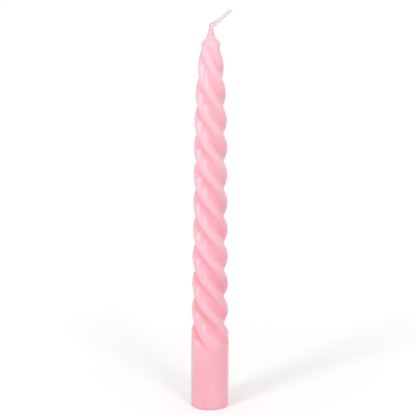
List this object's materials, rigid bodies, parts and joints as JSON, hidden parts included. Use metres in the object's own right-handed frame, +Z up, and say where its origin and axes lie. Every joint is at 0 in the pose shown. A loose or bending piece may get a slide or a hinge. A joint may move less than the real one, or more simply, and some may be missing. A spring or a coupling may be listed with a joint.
{
  "type": "spiral taper candle",
  "caption": "Slim tapering candle with lobes twisted up a round body, a plain round butt for a holder and a bent cotton wick.",
  "frame": {"origin": "centre of the flat butt face that the candle stands on", "axes": "+Z up the candle's axis to the wick, +X the way the bent wick stub leans"},
  "size_m": [0.0238, 0.023, 0.2453],
  "materials": {
    "undyed_wax": "satin",
    "dyed_wax": "satin",
    "cotton_wick": "matte"
  },
  "bodies": {
    "root": {"wax_core": "undyed_wax", "dyed_coat": "dyed_wax", "wick": "cotton_wick"}
  },
  "joints": []
}
